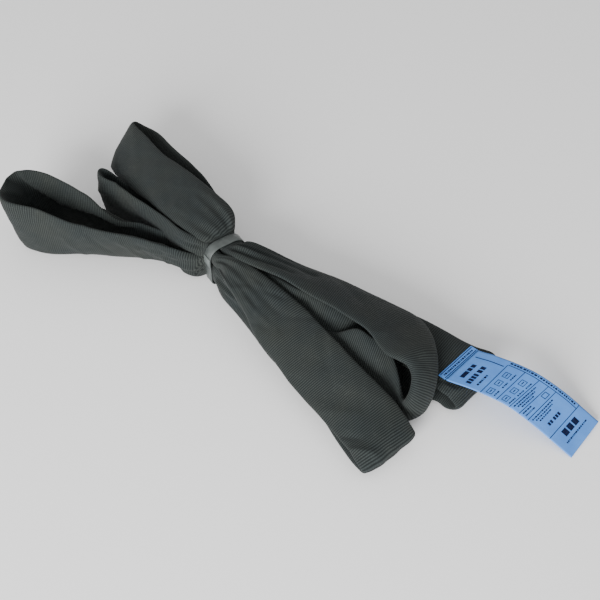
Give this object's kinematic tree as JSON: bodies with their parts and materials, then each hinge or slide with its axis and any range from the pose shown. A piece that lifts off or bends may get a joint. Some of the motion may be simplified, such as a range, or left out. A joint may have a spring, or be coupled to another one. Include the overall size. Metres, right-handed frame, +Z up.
{
  "type": "round sling",
  "caption": "Endless polyester round sling, folded into a bundle of flat ribbed sleeve lobes, tied at the waist with a narrow strap, with a long sewn label on one lobe.",
  "frame": {"origin": "on the floor under the middle of the bundle's bounding box", "axes": "+Z up, +X along the bundle from the open lobe towards the label, +Y towards the back of the bundle"},
  "size_m": [0.5652, 0.1996, 0.062],
  "materials": {
    "sleeve_polyester": "matt charcoal woven polyester with fine crosswise ribs",
    "core_yarn": "off-white polyester yarn hank",
    "core_tape": "matt binding tape",
    "tie_plastic": "grey polypropylene strap with a light satin sheen",
    "label_fabric": null,
    "label_thread": "dark blue sewing thread"
  },
  "bodies": {
    "waist": {"sleeve_a_to_d": "sleeve_polyester", "core_a_to_d": "core_yarn", "sleeve_b_to_d": "sleeve_polyester", "core_b_to_d": "core_yarn", "sleeve_a_to_e": "sleeve_polyester", "core_a_to_e": "core_yarn", "sleeve_b_to_f": "sleeve_polyester", "core_b_to_f": "core_yarn", "sleeve_c_to_f": "sleeve_polyester", "core_c_to_f": "core_yarn", "sleeve_c_to_e": "sleeve_polyester", "core_c_to_e": "core_yarn", "core_b": "core_yarn", "sleeve_b_out": "sleeve_polyester", "sleeve_b_turn": "sleeve_polyester", "sleeve_b_back": "sleeve_polyester"},
    "tie": {"tie_strap": "tie_plastic", "tie_weld": "tie_plastic"},
    "lobe_a": {"core_a": "core_yarn", "sleeve_a_out": "sleeve_polyester", "sleeve_a_turn": "sleeve_polyester", "sleeve_a_back": "sleeve_polyester"},
    "lobe_c": {"core_c": "core_yarn", "sleeve_c_out": "sleeve_polyester", "sleeve_c_turn": "sleeve_polyester", "sleeve_c_back": "sleeve_polyester"},
    "lobe_d": {"core_d": "core_yarn", "sleeve_d_out": "sleeve_polyester", "sleeve_d_turn": "sleeve_polyester", "sleeve_d_back": "sleeve_polyester", "core_tape": "core_tape"},
    "lobe_ef": {"core_e": "core_yarn", "sleeve_e_out": "sleeve_polyester", "sleeve_e_turn": "sleeve_polyester", "sleeve_e_back": "sleeve_polyester", "core_f": "core_yarn", "sleeve_f_out": "sleeve_polyester", "sleeve_f_turn": "sleeve_polyester", "sleeve_f_back": "sleeve_polyester", "label_header": "label_fabric", "label_seam_1": "label_thread", "label_seam_2": "label_thread"},
    "label": {"label": "label_fabric"}
  },
  "joints": [
    {"name": "tie_slide", "type": "slide", "parent": "waist", "child": "tie", "axis": [0.9336, -0.3584, 0], "range_m": [-0.003, 0.003]},
    {"name": "lobe_a_swing", "type": "hinge", "parent": "waist", "child": "lobe_a", "pos_m": [-0.0975, -0.00176, 0], "axis": [0, 0, 1], "range_deg": [0, 18]},
    {"name": "lobe_c_swing", "type": "hinge", "parent": "waist", "child": "lobe_c", "pos_m": [-0.08484, 0.03119, 0], "axis": [0, 0, -1], "range_deg": [0, 18]},
    {"name": "lobe_d_swing", "type": "hinge", "parent": "waist", "child": "lobe_d", "pos_m": [-0.07136, -0.01179, 0], "axis": [0, 0, -1], "range_deg": [0, 18]},
    {"name": "lobe_ef_swing", "type": "hinge", "parent": "waist", "child": "lobe_ef", "pos_m": [-0.0587, 0.02116, 0], "axis": [0, 0, 1], "range_deg": [0, 10]},
    {"name": "label_lift", "type": "hinge", "parent": "lobe_ef", "child": "label", "pos_m": [0.1651, 0.0253, 0.0271], "axis": [-0.1564, -0.9877, 0], "range_deg": [0, 75]}
  ]
}
